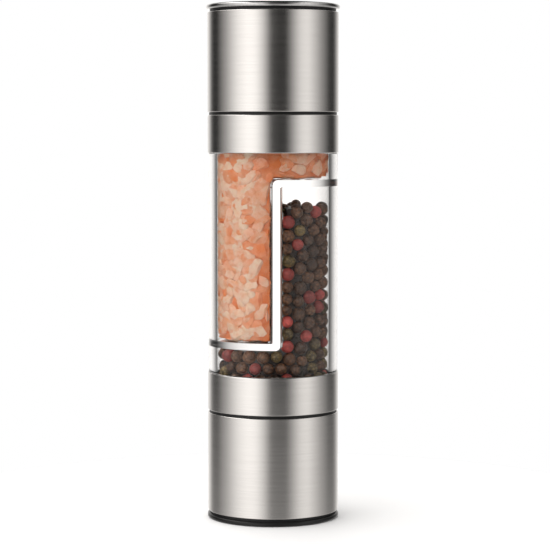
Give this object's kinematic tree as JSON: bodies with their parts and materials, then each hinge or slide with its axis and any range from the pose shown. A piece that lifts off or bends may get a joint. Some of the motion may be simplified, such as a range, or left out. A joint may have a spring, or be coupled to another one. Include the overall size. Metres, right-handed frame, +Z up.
{
  "type": "salt and pepper mill",
  "caption": "Upright two-ended hand mill: clear stepped jar with pink salt above and peppercorns below, a brushed steel grinding head with a pull-off lid on each end.",
  "frame": {"origin": "centre of the foot ring, on the surface that the mill stands on", "axes": "+Z up along the mill's axis, -Y towards the viewer, salt pocket on -X and pepper pocket on +X"},
  "size_m": [0.0531, 0.053, 0.204],
  "materials": {
    "clear_acrylic": "clear, polished",
    "pink_salt": "translucent pink crystals",
    "peppercorns": "wrinkled dry berries",
    "brushed_steel": "brushed round the tube",
    "polished_rim": "polished",
    "black_moulding": "fine moulded texture",
    "black_glide": "smooth black",
    "knob_plastic": "satin",
    "foot_rubber": "semi-gloss black",
    "seal_rubber": "silicone",
    "burr_ceramic": "fired white ceramic",
    "hardware_steel": "bright"
  },
  "bodies": {
    "base_lid": {"lower_lid_plug": "black_moulding", "lower_lid_seal": "seal_rubber", "lower_foot_ring": "foot_rubber"},
    "lower_head": {"lower_grip_sleeve": "brushed_steel", "lower_head_core": "black_moulding", "lower_burr_housing": "black_moulding", "lower_stator_burr": "burr_ceramic", "lower_burr_retainer": "black_moulding", "lower_retainer_screws": "hardware_steel"},
    "lower_collar": {"lower_collar_core": "black_moulding", "lower_collar_sleeve": "brushed_steel", "lower_glide_ring": "black_glide", "lower_head_clip": "hardware_steel", "lower_spindle": "hardware_steel", "lower_spring": "hardware_steel"},
    "lower_rotor": {"lower_rotor_burr": "burr_ceramic", "lower_spring_washer": "hardware_steel", "lower_knob_washer": "hardware_steel"},
    "lower_knob": {"lower_adjuster_knob": "knob_plastic"},
    "jar": {"jar": "clear_acrylic", "salt_fill": "pink_salt", "peppercorn_fill": "peppercorns", "upper_neck_seal": "seal_rubber", "lower_neck_seal": "seal_rubber"},
    "top_lid": {"upper_lid_plug": "black_moulding", "upper_lid_seal": "seal_rubber", "upper_lid_rim": "polished_rim"},
    "upper_head": {"upper_grip_sleeve": "brushed_steel", "upper_head_core": "black_moulding", "upper_burr_housing": "black_moulding", "upper_stator_burr": "burr_ceramic", "upper_burr_retainer": "black_moulding", "upper_retainer_screws": "hardware_steel"},
    "upper_collar": {"upper_collar_core": "black_moulding", "upper_collar_sleeve": "brushed_steel", "upper_glide_ring": "black_glide", "upper_head_clip": "hardware_steel", "upper_spindle": "hardware_steel", "upper_spring": "hardware_steel"},
    "upper_rotor": {"upper_rotor_burr": "burr_ceramic", "upper_spring_washer": "hardware_steel", "upper_knob_washer": "hardware_steel"},
    "upper_knob": {"upper_adjuster_knob": "knob_plastic"}
  },
  "joints": [
    {"name": "base_lid_pull", "type": "slide", "parent": "base_lid", "child": "lower_head", "axis": [0, 0, 1], "range_m": [0, 0.03]},
    {"name": "pepper_grind", "type": "hinge", "parent": "lower_head", "child": "lower_collar", "pos_m": [0, 0, 0.0405], "axis": [0, 0, 1], "continuous": true},
    {"name": "pepper_refill", "type": "slide", "parent": "lower_collar", "child": "jar", "axis": [0, 0, 1], "range_m": [0, 0.025]},
    {"name": "salt_refill", "type": "slide", "parent": "jar", "child": "upper_collar", "axis": [0, 0, 1], "range_m": [0, 0.025]},
    {"name": "salt_grind", "type": "hinge", "parent": "upper_collar", "child": "upper_head", "pos_m": [0, 0, 0.1635], "axis": [0, 0, 1], "continuous": true},
    {"name": "top_lid_pull", "type": "slide", "parent": "upper_head", "child": "top_lid", "axis": [0, 0, 1], "range_m": [0, 0.03]},
    {"name": "lower_rotor_slide", "type": "slide", "parent": "lower_collar", "child": "lower_rotor", "axis": [0, 0, -1], "range_m": [0, 0.0014], "deforming": ["lower_spring"]},
    {"name": "lower_knob_turn", "type": "hinge", "parent": "lower_rotor", "child": "lower_knob", "pos_m": [0, 0, 0.0125], "axis": [0, 0, -1], "range_deg": [0, 720]},
    {"name": "upper_rotor_slide", "type": "slide", "parent": "upper_collar", "child": "upper_rotor", "axis": [0, 0, 1], "range_m": [0, 0.0014], "deforming": ["upper_spring"]},
    {"name": "upper_knob_turn", "type": "hinge", "parent": "upper_rotor", "child": "upper_knob", "pos_m": [0, 0, 0.1915], "axis": [0, 0, 1], "range_deg": [0, 720]}
  ],
  "couplings": [
    {"joint": "upper_rotor_slide", "follows": "upper_knob_turn", "m_per_rad": 0.0001114},
    {"joint": "lower_rotor_slide", "follows": "lower_knob_turn", "m_per_rad": 0.0001114}
  ]
}
